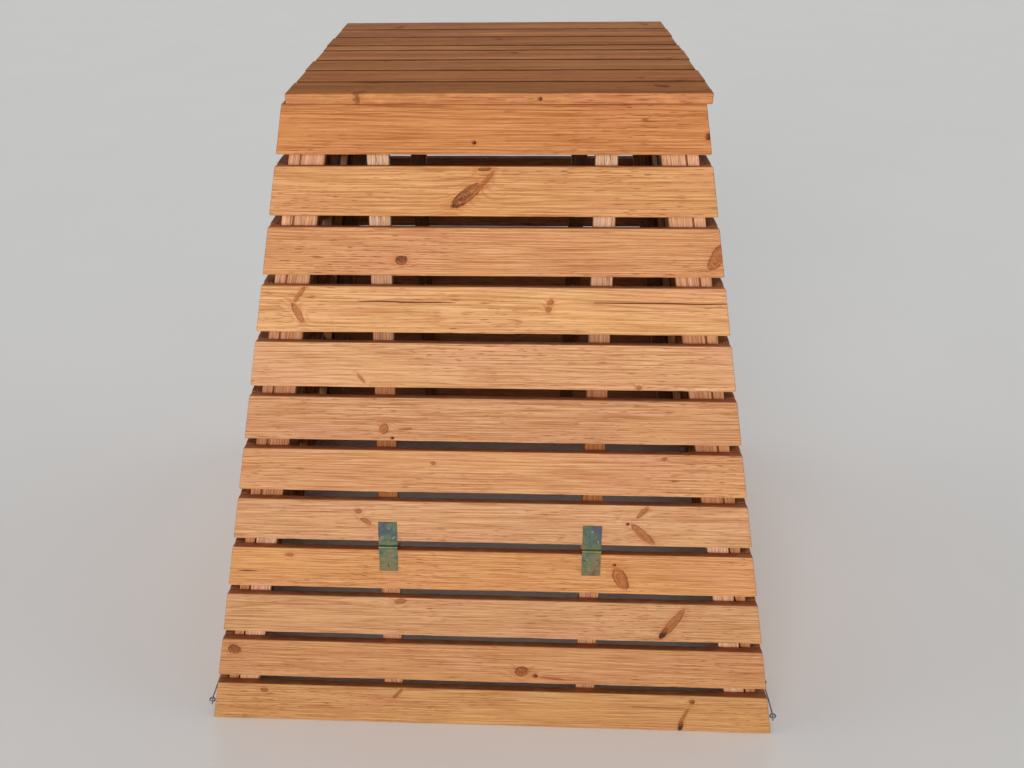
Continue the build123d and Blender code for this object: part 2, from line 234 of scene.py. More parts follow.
def loft_mesh(name, rings, dark):
    """A closed mesh through a list of rings of points; dark faces take the second material."""
    stations, count = rings.shape[:2]
    vertices = list(rings.reshape(-1, 3))
    faces, shades = [], []
    for station in range(stations - 1):
        for step in range(count):
            following = (step + 1) % count
            a, b = station * count + step, station * count + following
            faces.append((a, a + count, b + count, b))
            shades.append(int(dark[station, step]))
    for station, flip in ((0, False), (stations - 1, True)):
        ring = [station * count + step for step in range(count)]
        previous = ring
        centre = rings[station].mean(0)
        for scale in (0.7, 0.35):
            start = len(vertices)
            vertices.extend(centre + (rings[station] - centre) * scale)
            current = [start + step for step in range(count)]
            for step in range(count):
                following = (step + 1) % count
                quad = (previous[step], previous[following], current[following], current[step])
                faces.append(quad[::-1] if flip else quad)
                shades.append(0)
            previous = current
        faces.append(tuple(previous[::-1] if flip else previous))
        shades.append(0)
    mesh = bpy.data.meshes.new(name)
    mesh.from_pydata(vertices, [], faces)
    mesh.polygons.foreach_set("material_index", shades)
    mesh.polygons.foreach_set("use_smooth", [True] * len(faces))
    mesh.validate()
    mesh.update()
    return mesh


def end_planes(node, place):
    """The two planes that a node's boards are cut by, from its own end faces."""
    return [largest_face(node, side * place.along) for side in (-1, 1)]


# ---- material nodes --------------------------------------------------------------------------
class Graph:
    """Short names for a material's nodes. An input is a number, a colour, a vector or a socket."""

    def __init__(self, name):
        self.material = bpy.data.materials.new(name)
        self.material.use_nodes = True
        self.tree = self.material.node_tree
        self.tree.nodes.clear()
        self.shader = self.tree.nodes.new("ShaderNodeBsdfPrincipled")
        output = self.tree.nodes.new("ShaderNodeOutputMaterial")
        self.tree.links.new(self.shader.outputs["BSDF"], output.inputs["Surface"])
        self.coordinates = self.tree.nodes.new("ShaderNodeTexCoord")

    def put(self, socket, value):
        if isinstance(value, bpy.types.NodeSocket):
            self.tree.links.new(value, socket)
        elif value is not None:
            socket.default_value = value

    def math(self, operation, *values):
        node = self.tree.nodes.new("ShaderNodeMath")
        node.operation = operation
        for socket, value in zip(node.inputs, values):
            self.put(socket, value)
        return node.outputs[0]

    def dot(self, vector, axis):
        node = self.tree.nodes.new("ShaderNodeVectorMath")
        node.operation = "DOT_PRODUCT"
        self.put(node.inputs[0], vector)
        node.inputs[1].default_value = axis
        return node.outputs["Value"]

    def length(self, vector):
        node = self.tree.nodes.new("ShaderNodeVectorMath")
        node.operation = "LENGTH"
        self.put(node.inputs[0], vector)
        return node.outputs["Value"]

    def vector(self, x, y, z):
        node = self.tree.nodes.new("ShaderNodeCombineXYZ")
        for socket, value in zip(node.inputs, (x, y, z)):
            self.put(socket, value)
        return node.outputs[0]

    def parts(self, vector):
        node = self.tree.nodes.new("ShaderNodeSeparateXYZ")
        self.put(node.inputs[0], vector)
        return node.outputs

    def smooth(self, value, start, finish, low=0.0, high=1.0):
        """Runs from low to high, smoothly, as a value goes from start to finish."""
        node = self.tree.nodes.new("ShaderNodeMapRange")
        node.interpolation_type = "SMOOTHSTEP"
        for socket, each in zip(node.inputs, (value, start, finish, low, high)):
            self.put(socket, each)
        return node.outputs[0]

    def noise(self, vector, scale=1.0, detail=2.0, rough=0.5):
        node = self.tree.nodes.new("ShaderNodeTexNoise")
        self.put(node.inputs["Vector"], vector)
        node.inputs["Scale"].default_value = scale
        node.inputs["Detail"].default_value = detail
        node.inputs["Roughness"].default_value = rough
        return node.outputs["Fac"]

    def random(self, value):
        """Three random numbers, from 0 to 1, for one number."""
        node = self.tree.nodes.new("ShaderNodeTexWhiteNoise")
        node.noise_dimensions = "1D"
        self.put(node.inputs["W"], value)
        return self.parts(node.outputs["Color"])

    def mix(self, share, first, second, mode="MIX"):
        node = self.tree.nodes.new("ShaderNodeMix")
        node.data_type = "RGBA"
        node.blend_type = mode
        self.put(node.inputs["Factor"], share)
        self.put(node.inputs[6], first)
        self.put(node.inputs[7], second)
        return node.outputs[2]

    def ramp(self, value, stops):
        node = self.tree.nodes.new("ShaderNodeValToRGB")
        self.put(node.inputs[0], value)
        elements = node.color_ramp.elements
        while len(elements) < len(stops):
            elements.new(0.5)
        for element, (position, colour) in zip(elements, stops):
            element.position = position
            element.color = (*colour, 1)
        return node.outputs[0]

    def placed(self, vector, centre, angle, size):
        """A vector measured from a centre, turned, and in units of size."""
        node = self.tree.nodes.new("ShaderNodeMapping")
        node.vector_type = "TEXTURE"
        self.put(node.inputs["Vector"], vector)
        node.inputs["Location"].default_value = centre
        node.inputs["Rotation"].default_value = (0, 0, angle)
        node.inputs["Scale"].default_value = size
        return node.outputs[0]

    def finish(self, colour, roughness, height, distance, strength=1.0):
        self.put(self.shader.inputs["Base Color"], colour)
        self.put(self.shader.inputs["Roughness"], roughness)
        bump = self.tree.nodes.new("ShaderNodeBump")
        bump.inputs["Strength"].default_value = strength
        bump.inputs["Distance"].default_value = distance
        self.put(bump.inputs["Height"], height)
        self.put(self.shader.inputs["Normal"], bump.outputs[0])
        return self.material


# ---- pine ------------------------------------------------------------------------------------
# Colours in the wood, as shares of a board's mean colour.
EARLY_WOOD = (1.12, 1.24, 1.38)
PALEST_WOOD = (1.2, 1.42, 1.75)
LATE_WOOD = (0.72, 0.54, 0.40)
FLECK = (0.40, 0.24, 0.17)
PINK_PATCH = (0.97, 0.84, 1.08)
YELLOW_PATCH = (1.1, 1.12, 1.0)
# paler arrises: wear and a painted highlight
RUBBED_AND_HIGHLIT = (1.3, 1.3, 1.3)
# painted shade in the groove between corner battens
CORNER_JOINT_SHADE = (0.26, 0.12, 0.08)
FRONT_EDGE_SHADE = (0.40, 0.22, 0.15)                   # painted shade on the upper edges of the front slats
WALL_EDGE_SHADE = (0.13, 0.065, 0.05)                   # and of the other walls' slats
# end grain: darker wood, with painted shade in it
END_EARLY_SHADED, END_LATE_SHADED = (0.50, 0.34, 0.25), (0.26, 0.15, 0.10)
KNOT_HALO = (0.72, 0.44, 0.30)
KNOT_PALE, KNOT_DARK = (0.78, 0.53, 0.38), (0.34, 0.17, 0.10)
KNOT_BARK, KNOT_BLACK = (0.15, 0.08, 0.07), (0.07, 0.06, 0.09)
# What a colour is multiplied by.
FIBRE_STAIN = (0.70, 0.56, 0.44, 1)
BATTEN_INNER_SHADE = (0.28, 0.23, 0.20, 1)              # painted shade on faces inside the bin
# painted shade on the boards' faces inside the bin
BOARD_INNER_SHADE = (0.46, 0.36, 0.36, 1)
GAP_SHADE = (0.20, 0.16, 0.14, 1)                 # painted shade on the edges of the lid boards, between them
BAND_STAIN = (0.62, 0.52, 0.44, 1)                # weathered bands on the lid


def shade(tone, share):
    """A share of a mean colour, for each channel."""
    return (*(min(each * factor, 1) for each, factor in zip(tone, share)), 1)


def pine(name, place, tone, seed, across_at=None, knots=(), scattered=0.0, upright=None,
         weathered_and_shaded=None, gap_shaded=(False, False), shade_grade=None):
    """Pine, cut from a log whose rings run through the board, so faces and ends agree.

    tone is its mean colour. across_at is the middle of the one board that it is for, and None
    where it repeats for every row of a wall. knots are (along, across, half length, half width,
    angle, darkness, direction of the darkest rim, depth), in mm and degrees, from the board's
    middle line; depth is given only for a knot in an edge. scattered is the share of the random
    knots that are shown. upright turns the grain up the wall, for "middle" or "corner" battens.
    weathered_and_shaded is the colour of a top that lies in the sun and rain, with painted shade,
    and gap_shaded says which of a board's two edges are in a gap, where shade is painted. shade_grade
    is painted shade and light on an upright: what its colour is multiplied by low down and high up.
    """
    g = Graph(name)
    here = g.coordinates.outputs["Object"]
    facing = g.coordinates.outputs["Normal"]
    side = g.dot(here, place.along)
    rise = g.math("SUBTRACT", g.dot(here, place.up), place.origin.dot(place.up))
    depth = g.math("SUBTRACT", place.origin.dot(place.out), g.dot(here, place.out))
    if upright:
        row = g.math("SIGN", side)
        across = g.math("SUBTRACT", g.math("ABSOLUTE", side), across_at)
        if upright == "corner":
            across = g.math("MULTIPLY_ADD", rise, place.out.z, across)
        along, grain_axis, edge_axis = rise, place.up, place.along
    else:
        along, grain_axis, edge_axis = side, place.along, place.up
        if across_at is None:
            row = g.math("FLOOR", g.math("DIVIDE", rise, PITCH))
            in_row = g.math("SUBTRACT", rise, g.math("MULTIPLY", row, PITCH))
            across = g.math("SUBTRACT", in_row, BOARD_W / 2)
        else:
            row = 0.0
            across = g.math("SUBTRACT", rise, across_at)
    board = g.math("ADD", row, seed * 13.7)
    pick = g.random(board)
    pick_more = g.random(g.math("ADD", board, 0.37))
    shift = g.math("MULTIPLY", board, 3.1)

    def grain_noise(along_scale, across_scale, detail, rough):
        """Noise drawn out along the grain; scales are in features per metre."""
        stretched = g.vector(
            g.math("MULTIPLY_ADD", along, along_scale, shift),
            g.math("MULTIPLY_ADD", across, across_scale, shift),
            g.math("MULTIPLY", depth, across_scale),
        )
        return g.noise(stretched, 1.0, detail, rough)

    # where the pith of the log lay, drifting along the board
    drift = g.noise(g.vector(g.math("MULTIPLY_ADD", along, 1.3, shift), shift, 0), 1.0, 1.0)
    pith_across = g.math("MULTIPLY", g.math("SUBTRACT", pick[0], 0.5), 0.15)
    pith_across = g.math("MULTIPLY_ADD", along, g.math("MULTIPLY_ADD", pick[1], 0.03, -0.015), pith_across)
    pith_across = g.math("MULTIPLY_ADD", drift, 0.03, pith_across)
    pith_depth = g.math("MULTIPLY_ADD", pick[2], 0.05, 0.018)
    pith_depth = g.math("MULTIPLY_ADD", along, g.math("MULTIPLY_ADD", pick_more[0], 0.03, -0.015), pith_depth)
    from_pith = g.vector(g.math("SUBTRACT", across, pith_across), g.math("ADD", depth, pith_depth), 0)
    radius = g.math("MULTIPLY_ADD", grain_noise(3.5, 22, 2.0, 0.5), 0.010, g.length(from_pith))

    # knots: how far each point is from each one, in its own half lengths
    ragged = g.math("ADD", g.noise(here, 70.0, 1.0), g.math("MULTIPLY", g.noise(here, 420.0, 2.0), 0.7))
    in_board = g.vector(along, across, depth)
    found = []
    for centre, rise_of, long, wide, angle, dark, rim, *sunk_at in knots:
        low, thick = (sunk_at[0] * MM, 3 * MM) if sunk_at else (0, 1)
        spot = g.placed(in_board, (centre * MM, rise_of * MM, low), math.radians(angle),
                        (long * MM, wide * MM, thick))
        far = g.math("ADD", g.length(spot), g.math("MULTIPLY_ADD", ragged, 0.42, -0.36))
        turned = math.radians(rim - angle)
        found.append((far, dark, spot, wide, (math.cos(turned), math.sin(turned), 0)))
    if scattered:
        found.append((*random_knots(g, along, across, board, scattered, ragged), 9, (0.6, -0.8, 0)))
    for far, dark, spot, wide, rim in found:
        near = g.math("POWER", 2.718, g.math("MULTIPLY", g.math("MULTIPLY", far, far), -0.35))
        radius = g.math("MULTIPLY_ADD", near, 0.0010 * wide, radius)

    # rings: pale early wood that darkens into a late-wood line
    spacing = g.math("MULTIPLY_ADD", pick_more[1], 0.0020, 0.0034)
    ring = g.math("DIVIDE", radius, spacing)
    phase = g.math("FRACT", ring)
    line = g.math("SUBTRACT", g.smooth(phase, 0.38, 0.88), g.smooth(phase, 0.88, 1.0))
    ring_vary = g.random(g.math("ADD", g.math("FLOOR", ring), board))[0]
    line = g.math("MULTIPLY", line, g.math("MULTIPLY_ADD", ring_vary, 0.75, 0.25))
    fibres = grain_noise(8, 560, 3.0, 0.6)
    strands = grain_noise(6, 310, 4.0, 0.72)
    streaks = grain_noise(1.6, 70, 3.0, 0.6)
    patches = grain_noise(4.5, 13, 2.0, 0.5)
    clusters = grain_noise(3.0, 9, 1.0, 0.5)
    flecks = g.math("MULTIPLY", g.smooth(grain_noise(34, 430, 1.0, 0.5), 0.60, 0.70),
                    g.smooth(clusters, 0.36, 0.64, 0.3, 1.0))

    pale = shade(tone, EARLY_WOOD)
    palest = shade(tone, PALEST_WOOD)
    strong = shade(tone, LATE_WOOD)
    brown = shade(tone, FLECK)
    colour = g.mix(g.math("MULTIPLY", line, 0.75), pale, strong)
    colour = g.mix(g.smooth(strands, 0.44, 0.68, 0.0, 0.85), colour, strong)
    colour = g.mix(g.smooth(strands, 0.46, 0.28, 0.0, 0.65), colour, palest)
    colour = g.mix(g.smooth(streaks, 0.44, 0.72, 0.0, 0.25), colour, strong)
    colour = g.mix(g.smooth(fibres, 0.38, 0.68, 0.0, 0.85), colour, FIBRE_STAIN, "MULTIPLY")
    colour = g.mix(g.smooth(patches, 0.5, 0.72, 0.0, 0.32), colour, shade(tone, PINK_PATCH))
    colour = g.mix(g.smooth(patches, 0.5, 0.25, 0.0, 0.35), colour, shade(tone, YELLOW_PATCH))
    colour = g.mix(g.math("MULTIPLY", flecks, 0.8), colour, brown)

    height = g.math("MULTIPLY_ADD", line, 0.35, g.math("MULTIPLY", fibres, -0.5))
    height = g.math("MULTIPLY_ADD", strands, -0.5, height)
    height = g.math("MULTIPLY_ADD", flecks, -0.8, height)
    roughness = g.math("MULTIPLY_ADD", fibres, 0.2, 0.58)
    roughness = g.math("MULTIPLY_ADD", line, -0.08, roughness)

    for far, dark, spot, wide, rim in found:
        colour, height = knot_shading(g, colour, height, tone, far, dark, spot, rim, strands)

    # arrises: wear plus a painted highlight; upper edges: painted shade; end grain: darker wood plus painted
    # shade
    half = {None: BOARD_W, "middle": MIDDLE_W, "corner": CORNER_W}[upright] / 2
    edge = g.smooth(g.math("ABSOLUTE", across), half - 4.5 * MM, half - 0.5 * MM)
    patchiness = grain_noise(30, 60, 3.0, 0.5)
    rubbed_and_highlit = g.math("MULTIPLY", edge, g.smooth(patchiness, 0.45, 0.7, 0.0, 0.5))
    # painted highlight over real wear: the arrises are made paler
    colour = g.mix(rubbed_and_highlit, colour, shade(tone, RUBBED_AND_HIGHLIT))
    # painted shade in the groove where two corner battens meet
    if upright == "corner":
        joint_shade = g.math("MULTIPLY", g.smooth(across, half - 2.6 * MM, half - 1.0 * MM),
                       g.smooth(g.math("ABSOLUTE", g.dot(facing, place.out)), 0.5, 0.8, 0.0, 0.85))
        colour = g.mix(joint_shade, colour, shade(tone, CORNER_JOINT_SHADE))
    upward = g.smooth(g.dot(facing, edge_axis), 0.45, 0.95)
    # painted shade: the upward-facing edges of the slats are darkened
    if not upright and not weathered_and_shaded:
        colour = g.mix(g.math("MULTIPLY", upward, g.smooth(patchiness, 0.2, 0.7, 0.55, 0.9)), colour,
                       shade(tone, FRONT_EDGE_SHADE if knots else WALL_EDGE_SHADE))
    # painted shade low on an upright and painted light high on it
    if shade_grade:
        low, high = shade_grade
        grade = g.mix(g.smooth(rise, 0.65, 1.30), (*low, 1), (*high, 1))
        colour = g.mix(1.0, colour, grade, "MULTIPLY")
    # painted shade: faces that look into the bin are darkened
    inner = g.smooth(g.dot(facing, place.out), -0.4, -0.85)
    inner_shade = BATTEN_INNER_SHADE if upright else BOARD_INNER_SHADE
    colour = g.mix(g.math("MULTIPLY", inner, g.smooth(patchiness, 0.2, 0.8, 0.8, 1.0)), colour,
                   g.mix(1.0, colour, inner_shade, "MULTIPLY"))
    if weathered_and_shaded:
        # painted shade on lid board edges that face a neighbour across a gap
        for shaded_edge, sign in zip(gap_shaded, (-1, 1)):
            if shaded_edge:
                gap_shade_mask = g.smooth(g.math("MULTIPLY", g.dot(facing, place.up), sign), 0.35, 0.8)
                colour = g.mix(gap_shade_mask, colour, g.mix(1.0, colour, GAP_SHADE, "MULTIPLY"))
        # top faces: weathering, with painted shade making them darker
        top_faces = g.smooth(g.dot(facing, UP), 0.55, 0.85)
        worn_and_shaded = g.mix(1.0, colour, tuple(w / t for w, t in zip(weathered_and_shaded, tone)) + (1,), "MULTIPLY")
        bands = g.smooth(grain_noise(1.3, 26, 3.0, 0.6), 0.34, 0.66)
        worn_and_shaded = g.mix(g.math("MULTIPLY", bands, 0.75), worn_and_shaded,
                     g.mix(1.0, worn_and_shaded, BAND_STAIN, "MULTIPLY"))
        colour = g.mix(top_faces, colour, worn_and_shaded)
        roughness = g.math("MULTIPLY_ADD", top_faces, 0.15, roughness)
    # end grain: darker wood, with painted shade in its colour
    end = g.smooth(g.math("ABSOLUTE", g.dot(facing, grain_axis)), 0.5, 0.85)
    checked = g.vector(g.math("MULTIPLY", across, 260), g.math("MULTIPLY", depth, 900), along)
    check = g.noise(checked, 1.0, 2.0)
    end_colour = g.mix(line, shade(tone, END_EARLY_SHADED), shade(tone, END_LATE_SHADED))
    end_colour = g.mix(g.smooth(check, 0.62, 0.72, 0.0, 0.7), end_colour, brown)
    colour = g.mix(end, colour, end_colour)
    roughness = g.math("MULTIPLY_ADD", end, 0.2, roughness)
    g.shader.inputs["Specular IOR Level"].default_value = 0.14
    return g.finish(colour, roughness, height, 0.4 * MM, 0.8)


def random_knots(g, along, across, board, share, ragged):
    """The nearest of the knots strewn over a board: how far off it is in its own radii, how dark
    it is, and where the point lies from its middle."""
    cell_long, cell_wide = 0.26, BOARD_W
    cells = g.tree.nodes.new("ShaderNodeTexVoronoi")
    cells.voronoi_dimensions = "3D"
    cells.inputs["Scale"].default_value = 1.0
    cells.inputs["Randomness"].default_value = 0.75
    across_cell = g.math("ADD", g.math("DIVIDE", across, cell_wide), 0.5)
    layer = g.math("MULTIPLY", board, 10.0)
    g.put(cells.inputs["Vector"], g.vector(g.math("DIVIDE", along, cell_long), across_cell, layer))
    knot = g.parts(cells.outputs["Position"])
    chance = g.parts(cells.outputs["Color"])
    off_along = g.math("SUBTRACT", along, g.math("MULTIPLY", knot[0], cell_long))
    off_across = g.math("MULTIPLY", g.math("SUBTRACT", across_cell, knot[1]), cell_wide)
    lean = g.math("MULTIPLY_ADD", chance[1], 1.6, -0.8)
    off_along = g.math("MULTIPLY_ADD", off_across, lean, off_along)
    size = g.math("MULTIPLY_ADD", chance[2], 0.0085, 0.0035)
    shown = g.smooth(chance[0], share, share + 0.001, 1.0, 0.0)
    size = g.math("MAXIMUM", g.math("MULTIPLY", size, shown), 0.00001)
    spot = g.vector(g.math("DIVIDE", off_along, size), g.math("DIVIDE", off_across, size), 0)
    far = g.math("ADD", g.length(spot), g.math("MULTIPLY_ADD", ragged, 0.55, -0.46))
    return far, g.math("MULTIPLY_ADD", chance[1], 0.5, 0.35), spot


def knot_shading(g, colour, height, tone, far, dark, spot, rim, strands):
    """Paints one knot: a streaky halo, year rings in it, and bark that is darkest on one side."""
    around = g.math("MULTIPLY", g.dot(spot, (0.4, 0.9, 0)), 0.9)
    rings = g.noise(g.vector(g.math("MULTIPLY", far, 7.5), around, 0), 1.0, 2.0, 0.6)
    grime = g.noise(spot, 2.6, 4.0, 0.65)
    lop = g.smooth(g.dot(spot, rim), -0.6, 0.75, 0.2, 1.0)
    halo = g.math("MULTIPLY", g.smooth(far, 2.4, 0.9), g.smooth(strands, 0.38, 0.60, 0.25, 1.0))
    core = g.smooth(far, 1.05, 0.88)
    bark = g.math("MULTIPLY", g.smooth(far, 0.80, 0.94), g.smooth(far, 1.14, 1.0))
    bark = g.math("MULTIPLY", g.math("MULTIPLY", bark, lop), g.smooth(grime, 0.34, 0.56, 0.3, 1.0))
    black = g.smooth(g.math("MULTIPLY_ADD", grime, 0.8, dark), 1.08, 1.36)
    black = g.math("MULTIPLY", g.math("MULTIPLY", black, core), g.smooth(lop, 0.2, 0.7, 0.35, 1.0))
    colour = g.mix(g.math("MULTIPLY", halo, g.math("MULTIPLY_ADD", dark, 0.45, 0.18)), colour,
                   shade(tone, KNOT_HALO))
    heart = g.mix(g.smooth(rings, 0.42, 0.56), shade(tone, KNOT_PALE), shade(tone, KNOT_DARK))
    colour = g.mix(g.math("MULTIPLY", core, g.math("MULTIPLY_ADD", dark, 0.25, 0.62)), colour, heart)
    colour = g.mix(g.math("MULTIPLY", bark, g.math("MULTIPLY_ADD", dark, 0.55, 0.4)), colour,
                   shade(tone, KNOT_BARK))
    colour = g.mix(g.math("MULTIPLY", black, 0.9), colour, shade(tone, KNOT_BLACK))
    height = g.math("MULTIPLY_ADD", bark, -1.2, g.math("MULTIPLY_ADD", core, 0.4, height))
    return colour, height


def split_shade():
    """Painted shade inside a drying split: a dark brown on the faces down in the groove."""
    g = Graph("split_shade")
    torn = g.noise(g.coordinates.outputs["Object"], 900.0, 3.0)
    colour = g.mix(torn, (0.34, 0.11, 0.035, 1), (0.14, 0.045, 0.018, 1))
    return g.finish(colour, 0.9, torn, 0.5 * MM)


# ---- metals ----------------------------------------------------------------------------------
def passivated_zinc():
    """Yellow-passivated zinc sheet: green, blue, gold and grey films over a fine rolled surface."""
    g = Graph("passivated_zinc")
    here = g.coordinates.outputs["Object"]
    film = g.noise(here, 26.0, 3.0, 0.6)
    fine = g.noise(here, 150.0, 4.0, 0.65)
    mixed = g.math("MULTIPLY_ADD", fine, 0.45, g.math("MULTIPLY", film, 0.65))
    above = g.math("SUBTRACT", g.dot(here, UP), HINGE_Z)
    mixed = g.math("MULTIPLY_ADD", above, -1.1, mixed)
    colour = g.ramp(mixed, [
        (0.36, (0.115, 0.095, 0.135)), (0.44, (0.095, 0.120, 0.140)), (0.51, (0.110, 0.165, 0.105)),
        (0.59, (0.190, 0.200, 0.100)), (0.67, (0.260, 0.195, 0.090)), (0.77, (0.180, 0.105, 0.060)),
    ])
    scratch = g.noise(g.placed(here, (0, 0, 0), 0.5, (0.02, 1.6, 1.6)), 700.0, 2.0)
    colour = g.mix(g.smooth(scratch, 0.60, 0.72, 0.0, 0.4), colour, (0.30, 0.30, 0.25, 1))
    spots = g.noise(here, 420.0, 2.0)
    colour = g.mix(g.smooth(spots, 0.62, 0.72, 0.0, 0.7), colour, (0.04, 0.03, 0.02, 1))
    g.shader.inputs["Metallic"].default_value = 0.75
    roughness = g.smooth(fine, 0.3, 0.7, 0.30, 0.52)
    return g.finish(colour, roughness, g.math("ADD", fine, scratch), 0.12 * MM, 0.5)


def galvanised_wire():
    """Bright zinc wire gone dull, in darker and paler patches, with specks of rust."""
    g = Graph("galvanised_wire")
    here = g.coordinates.outputs["Object"]
    bloom = g.noise(here, 90.0, 4.0, 0.6)
    fine = g.noise(here, 600.0, 3.0)
    colour = g.ramp(bloom, [(0.32, (0.13, 0.14, 0.15)), (0.5, (0.30, 0.32, 0.34)), (0.7, (0.46, 0.47, 0.48))])
    colour = g.mix(g.smooth(fine, 0.62, 0.72, 0.0, 0.6), colour, (0.22, 0.12, 0.06, 1))
    g.shader.inputs["Metallic"].default_value = 0.85
    return g.finish(colour, g.smooth(bloom, 0.3, 0.7, 0.30, 0.55), fine, 0.08 * MM, 0.5)


def screw_zinc():
    """Zinc-plated screws, darkened all over as painted shade for their recesses, mottled, with specks of
    rust.
    """
    g = Graph("screw_zinc")
    here = g.coordinates.outputs["Object"]
    cloud = g.noise(here, 220.0, 3.0)
    fine = g.noise(here, 1500.0, 3.0)
    colour = g.ramp(cloud, [(0.3, (0.07, 0.06, 0.04)), (0.5, (0.20, 0.19, 0.14)), (0.7, (0.42, 0.39, 0.28))])
    colour = g.mix(g.smooth(fine, 0.60, 0.70, 0.0, 0.7), colour, (0.20, 0.10, 0.05, 1))
    g.shader.inputs["Metallic"].default_value = 0.9
    return g.finish(colour, g.smooth(cloud, 0.3, 0.7, 0.28, 0.5), fine, 0.06 * MM, 0.6)


def floor_paint():
    """A plain pale floor with a faint mottle."""
    g = Graph("pale_floor")
    mottle = g.noise(g.coordinates.outputs["Object"], 1.5, 3.0)
    colour = g.mix(mottle, (0.92, 0.92, 0.91, 1), (0.96, 0.96, 0.95, 1))
    return g.finish(colour, 0.85, mottle, 0.5 * MM, 0.2)


# ---- finish of each board --------------------------------------------------------------------
# Mean colours of the front slats, from the top down, as the photo shows them: each board's own
# tone with painted light in it, paler in the middle rows and darker at the top and bottom.
FRONT_LIT_TONES = [
    (0.677, 0.271, 0.091), (0.770, 0.370, 0.142), (0.751, 0.349, 0.148), (0.839, 0.433, 0.181),
    (0.804, 0.419, 0.196), (0.716, 0.354, 0.162), (0.748, 0.366, 0.163), (0.744, 0.387, 0.182),
    (0.753, 0.356, 0.136), (0.695, 0.358, 0.162), (0.648, 0.310, 0.129), (0.643, 0.321, 0.120),
]
WALL_TONE = (0.70, 0.32, 0.13)
BATTEN_TONE = (0.70, 0.36, 0.20)
SHADE_GRADE = {                                         # (on the door, kind): painted shade low down, and painted light high up
    (False, "middle"): ((0.62, 0.45, 0.26), (1.36, 1.80, 2.10)),
    (False, "corner"): ((0.84, 0.74, 0.60), (1.36, 1.52, 1.50)),
    (True, "middle"): ((0.98, 0.98, 0.88), (0.98, 0.98, 0.88)),
    (True, "corner"): ((1.24, 1.40, 1.60), (1.24, 1.40, 1.60)),
}
LID_TONE = (0.66, 0.275, 0.10)
LID_SHADED_TOPS = [                                      # weathered tops with painted shade, from the front
    (0.491, 0.183, 0.037), (0.595, 0.220, 0.058), (0.591, 0.236, 0.068), (0.616, 0.236, 0.072),
    (0.610, 0.253, 0.082), (0.546, 0.207, 0.055), (0.609, 0.241, 0.078), (0.576, 0.237, 0.073),
]

# Knots of each front slat: along, across, half length, half width, angle, darkness, darkest rim,
# and in the lid's front edge also how deep.
KNOTS = {
    1: [(-31, -24, 4, 3, 0, 1.0, 0), (379, -13, 6, 5, 80, 1.0, 0)],
    2: [(-43, -6, 36, 11, 38, 0.8, -160), (-8, 22, 18, 4, 50, 0.35, -30), (-12, 41, 11, 4, 4, 0.8, -90)],
    3: [(-165, -16, 11, 9, 0, 0.85, 90), (412, -6, 26, 13, 62, 0.4, 180)],
    4: [(-360, 27, 18, 4, 52, 0.5, 0), (-364, -8, 21, 7, -64, 0.4, 180),
        (111, 17, 7, 5, 35, 0.7, 0), (107, 3, 6, 5, 0, 0.6, 0)],
    5: [(282, -38, 5, 4, 0, 0.6, 0), (-249, -26, 11, 3, -52, 0.3, 0)],
    6: [(-208, -20, 11, 9, 70, 0.5, 0), (-192, -39, 4, 3, 0, 1.0, 0), (-166, -20, 14, 2, 4, 0.6, 0)],
    7: [(-112, 19, 5, 4, 0, 0.5, 0), (339, 35, 5, 4, 0, 0.5, 0)],
    8: [(-250, -1, 12, 5, -30, 0.5, 90), (-265, 21, 8, 5, 0, 0.5, 0), (306, -18, 32, 8, -42, 0.5, 60),
        (275, 4, 4, 3, 0, 1.0, 0), (304, 31, 17, 5, 48, 0.55, -60)],
    9: [(266, -10, 26, 13, -62, 0.5, 10), (253, 22, 4, 3, 0, 1.0, 0), (-411, 30, 8, 4, 0, 0.5, 0)],
    10: [(378, 0, 40, 9, 58, 0.5, -40), (361, -24, 15, 6, 60, 1.0, -110), (-185, 37, 12, 6, 10, 0.6, -20)],
    11: [(-543, 20, 14, 11, -15, 0.8, 80), (70, -16, 14, 11, 10, 0.75, 100), (98, -26, 5, 4, 0, 1.0, 0),
         (134, -31, 24, 2, -4, 0.5, 0)],
    12: [(416, -8, 22, 4, 66, 0.5, 180), (411, -31, 13, 5, 80, 1.0, -90), (430, 30, 6, 5, 0, 0.8, 0),
         (-485, 31, 9, 5, 0, 0.7, 180), (-195, 31, 15, 4, 50, 0.6, -60)],
}
LID_KNOTS = {1: [(84, -45, 4, 8, 0, 1.0, 0, 10)]}
# Drying splits: start and end along the slat, height on it, width and depth, in mm.
SPLITS = {
    4: [(-262, -66, 15, 2.2, 7), (178, 470, 16, 2.2, 7)],
    9: [(-520, -482, -9, 2.4, 8)],
    12: [(296, 414, 14, 1.2, 3)],
}


def add_board(name, place, low, high, ends, seed, materials, body, cad_node, splits=(), level=None):
    """Makes one board as its own piece, which stands for its CAD node and rides on its body."""
    mesh = board_mesh(name, place, low, high, ends, seed, splits, level)
    for material in materials:
        mesh.materials.append(material)
    piece = bpy.data.objects.new(name, mesh)
    bpy.context.scene.collection.objects.link(piece)
    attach(piece, body)
    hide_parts(cad_node)
    return piece


def paint(node, material):
    """Gives a CAD node that keeps its shape a material."""
    mesh_object = nodes[node]
    if not mesh_object.material_slots:
        mesh_object.data.materials.append(material)
    for each in mesh_object.material_slots:
        each.material = material


# painted shade for the faces inside drying splits
split_shade_paint = split_shade()
levels = (0.0, TOP_Z)

